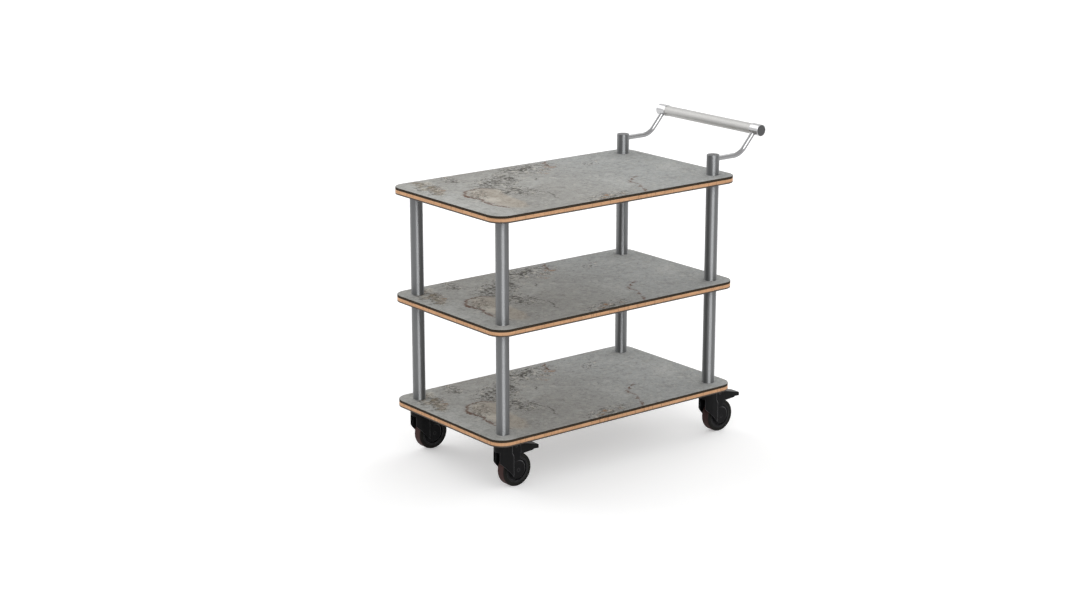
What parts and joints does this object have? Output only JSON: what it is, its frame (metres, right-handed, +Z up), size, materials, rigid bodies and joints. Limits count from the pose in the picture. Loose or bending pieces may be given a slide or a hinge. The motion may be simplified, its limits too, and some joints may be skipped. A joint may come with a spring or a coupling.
{
  "type": "buffet cart",
  "caption": "Tiered buffet cart with rounded laminated shelves on round steel tube posts, a raised push handle at one end and braked swivel castors.",
  "frame": {"origin": "on the floor, below the centre of the cart's overall box", "axes": "+X towards the push handle, +Y to the right of whoever pushes the cart, +Z up"},
  "size_m": [1.032, 0.525, 0.943],
  "materials": {
    "stone_laminate": "matt grey stone pattern",
    "wood_core": "bare sealed edge",
    "dark_backing": "matt dark brown",
    "post_steel": "brushed lengthwise",
    "bright_steel": "polished",
    "grip_steel": "satin",
    "cap_steel": "satin",
    "castor_plastic": "satin black",
    "tyre": "smooth tread",
    "hub_plastic": "matt black",
    "bush_plastic": "plain",
    "black_pin": "blackened",
    "hardware": "zinc plated"
  },
  "bodies": {
    "cart": {"bottom_shelf_deck": "stone_laminate", "bottom_shelf_core": "wood_core", "bottom_shelf_backing": "dark_backing", "middle_shelf_deck": "stone_laminate", "middle_shelf_core": "wood_core", "middle_shelf_backing": "dark_backing", "top_shelf_deck": "stone_laminate", "top_shelf_core": "wood_core", "top_shelf_backing": "dark_backing", "lower_post_front_left": "post_steel", "upper_post_front_left": "post_steel", "lower_post_front_right": "post_steel", "upper_post_front_right": "post_steel", "lower_post_rear_left": "post_steel", "upper_post_rear_left": "post_steel", "lower_post_rear_right": "post_steel", "upper_post_rear_right": "post_steel", "handle_post_left": "post_steel", "handle_arm_left": "bright_steel", "grip_socket_left": "bright_steel", "handle_post_right": "post_steel", "handle_arm_right": "bright_steel", "grip_socket_right": "bright_steel", "handle_grip": "grip_steel", "handle_end_caps": "cap_steel", "handle_post_plugs": "cap_steel", "post_plugs": "hardware", "joining_studs": "hardware", "blind_inserts": "hardware", "castor_stems": "hardware", "swivel_balls": "hardware"},
    "fork_front_left": {"castor_fork_front_left": "castor_plastic", "wheel_axle_front_left": "black_pin", "pedal_pin_front_left": "black_pin"},
    "wheel_front_left": {"castor_tyre_front_left": "tyre", "wheel_hub_front_left": "hub_plastic", "wheel_bushes_front_left": "bush_plastic"},
    "pedal_front_left": {"brake_pedal_front_left": "castor_plastic"},
    "fork_front_right": {"castor_fork_front_right": "castor_plastic", "wheel_axle_front_right": "black_pin", "pedal_pin_front_right": "black_pin"},
    "wheel_front_right": {"castor_tyre_front_right": "tyre", "wheel_hub_front_right": "hub_plastic", "wheel_bushes_front_right": "bush_plastic"},
    "pedal_front_right": {"brake_pedal_front_right": "castor_plastic"},
    "fork_rear_left": {"castor_fork_rear_left": "castor_plastic", "wheel_axle_rear_left": "black_pin", "pedal_pin_rear_left": "black_pin"},
    "wheel_rear_left": {"castor_tyre_rear_left": "tyre", "wheel_hub_rear_left": "hub_plastic", "wheel_bushes_rear_left": "bush_plastic"},
    "pedal_rear_left": {"brake_pedal_rear_left": "castor_plastic"},
    "fork_rear_right": {"castor_fork_rear_right": "castor_plastic", "wheel_axle_rear_right": "black_pin", "pedal_pin_rear_right": "black_pin"},
    "wheel_rear_right": {"castor_tyre_rear_right": "tyre", "wheel_hub_rear_right": "hub_plastic", "wheel_bushes_rear_right": "bush_plastic"},
    "pedal_rear_right": {"brake_pedal_rear_right": "castor_plastic"}
  },
  "joints": [
    {"name": "swivel_front_left", "type": "hinge", "parent": "cart", "child": "fork_front_left", "pos_m": [-0.4595, -0.206, 0.137], "axis": [0, 0, 1], "continuous": true},
    {"name": "roll_front_left", "type": "hinge", "parent": "fork_front_left", "child": "wheel_front_left", "pos_m": [-0.42, -0.206, 0.05], "axis": [0, 1, 0], "continuous": true},
    {"name": "brake_front_left", "type": "hinge", "parent": "fork_front_left", "child": "pedal_front_left", "pos_m": [-0.426, -0.206, 0.123], "axis": [0, 1, 0], "range_deg": [0, 8]},
    {"name": "swivel_front_right", "type": "hinge", "parent": "cart", "child": "fork_front_right", "pos_m": [-0.4595, 0.206, 0.137], "axis": [0, 0, 1], "continuous": true},
    {"name": "roll_front_right", "type": "hinge", "parent": "fork_front_right", "child": "wheel_front_right", "pos_m": [-0.42, 0.206, 0.05], "axis": [0, 1, 0], "continuous": true},
    {"name": "brake_front_right", "type": "hinge", "parent": "fork_front_right", "child": "pedal_front_right", "pos_m": [-0.426, 0.206, 0.123], "axis": [0, 1, 0], "range_deg": [0, 8]},
    {"name": "swivel_rear_left", "type": "hinge", "parent": "cart", "child": "fork_rear_left", "pos_m": [0.3275, -0.206, 0.137], "axis": [0, 0, 1], "continuous": true},
    {"name": "roll_rear_left", "type": "hinge", "parent": "fork_rear_left", "child": "wheel_rear_left", "pos_m": [0.367, -0.206, 0.05], "axis": [0, 1, 0], "continuous": true},
    {"name": "brake_rear_left", "type": "hinge", "parent": "fork_rear_left", "child": "pedal_rear_left", "pos_m": [0.361, -0.206, 0.123], "axis": [0, 1, 0], "range_deg": [0, 8]},
    {"name": "swivel_rear_right", "type": "hinge", "parent": "cart", "child": "fork_rear_right", "pos_m": [0.3275, 0.206, 0.137], "axis": [0, 0, 1], "continuous": true},
    {"name": "roll_rear_right", "type": "hinge", "parent": "fork_rear_right", "child": "wheel_rear_right", "pos_m": [0.367, 0.206, 0.05], "axis": [0, 1, 0], "continuous": true},
    {"name": "brake_rear_right", "type": "hinge", "parent": "fork_rear_right", "child": "pedal_rear_right", "pos_m": [0.361, 0.206, 0.123], "axis": [0, 1, 0], "range_deg": [0, 8]}
  ]
}
